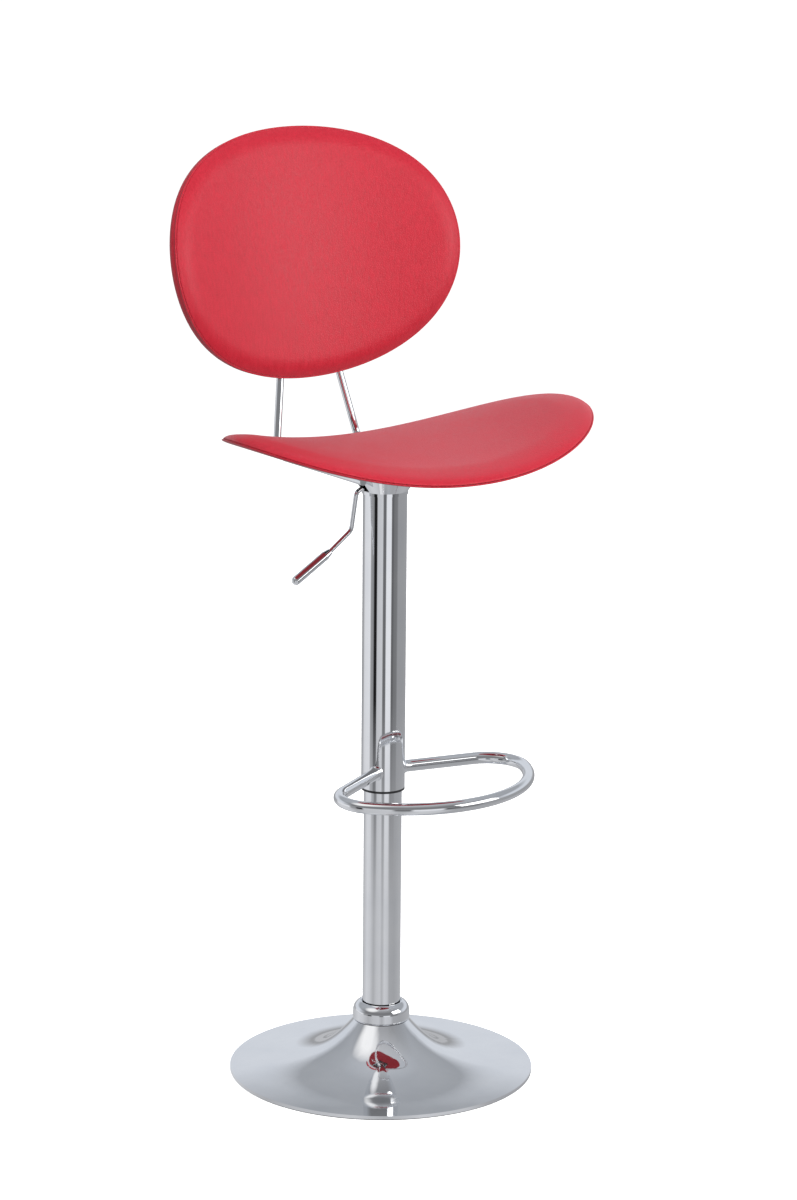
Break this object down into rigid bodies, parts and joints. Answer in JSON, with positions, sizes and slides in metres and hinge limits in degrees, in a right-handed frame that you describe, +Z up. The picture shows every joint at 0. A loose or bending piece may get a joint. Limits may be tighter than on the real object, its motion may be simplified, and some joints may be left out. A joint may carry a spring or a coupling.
{
  "type": "bar stool",
  "caption": "Height-adjustable swivel bar stool: bent oval padded seat and backrest on a chromed telescopic column with a foot loop, release lever and round trumpet base.",
  "frame": {"origin": "on the floor under the column axis", "axes": "+Z up along the column, -Y to the front, +X to the sitter's left"},
  "size_m": [0.526, 0.4567, 1.2276],
  "materials": {
    "chrome": "polished chrome plating",
    "steel": "zinc-plated steel",
    "black_paint": "black paint",
    "black_plastic": "black moulded plastic",
    "rubber": "black rubber",
    "cast_iron": "raw casting",
    "plywood": "raw plywood",
    "red_leatherette": "red grained leatherette"
  },
  "bodies": {
    "base": {"floor_pad": "rubber", "ballast_plate": "cast_iron", "base_shell": "chrome", "base_collar": "chrome", "stand_tube": "chrome", "guide_bush": "black_plastic", "stand_end_disc": "steel", "lower_thrust_race": "steel", "thrust_balls": "steel"},
    "swivel": {"upper_thrust_race": "steel", "bump_stop": "rubber", "rod_clip": "steel", "piston_rod": "steel", "piston": "black_plastic"},
    "seat": {"gas_cylinder": "black_paint", "cylinder_seal": "black_plastic", "upper_tube": "chrome", "tube_bush": "black_plastic", "tube_cap": "steel", "foot_loop": "chrome", "bell_cover": "chrome", "taper_socket": "steel", "lever_bracket": "steel", "lever_pin": "steel", "seat_plate": "black_paint", "seat_block": "black_plastic", "plate_screws": "steel", "threaded_inserts": "steel", "seat_board": "plywood", "seat_pad": "red_leatherette", "seat_under_cover": "red_leatherette", "right_back_rod": "chrome", "left_back_rod": "chrome", "back_screws": "steel", "back_board": "plywood", "back_front_pad": "red_leatherette", "back_rear_pad": "red_leatherette"},
    "lever": {"release_lever": "chrome", "lever_grip": "chrome"},
    "valve": {"valve_button": "steel"}
  },
  "joints": [
    {"name": "seat_swivel", "type": "hinge", "parent": "base", "child": "swivel", "pos_m": [0, 0, 0.035], "axis": [0, 0, 1], "continuous": true},
    {"name": "height_lift", "type": "slide", "parent": "swivel", "child": "seat", "axis": [0, 0, 1], "range_m": [-0.21, 0]},
    {"name": "lever_pull", "type": "hinge", "parent": "seat", "child": "lever", "pos_m": [-0.024, 0, 0.797], "axis": [0, 1, 0], "range_deg": [0, 9], "stiffness_Nm_per_rad": 1, "springref_deg": -2.86},
    {"name": "valve_press", "type": "slide", "parent": "seat", "child": "valve", "axis": [0, 0, -1], "range_m": [0, 0.0038], "stiffness_N_per_m": 300}
  ],
  "couplings": [
    {"joint": "valve_press", "follows": "lever_pull", "m_per_rad": 0.024}
  ]
}
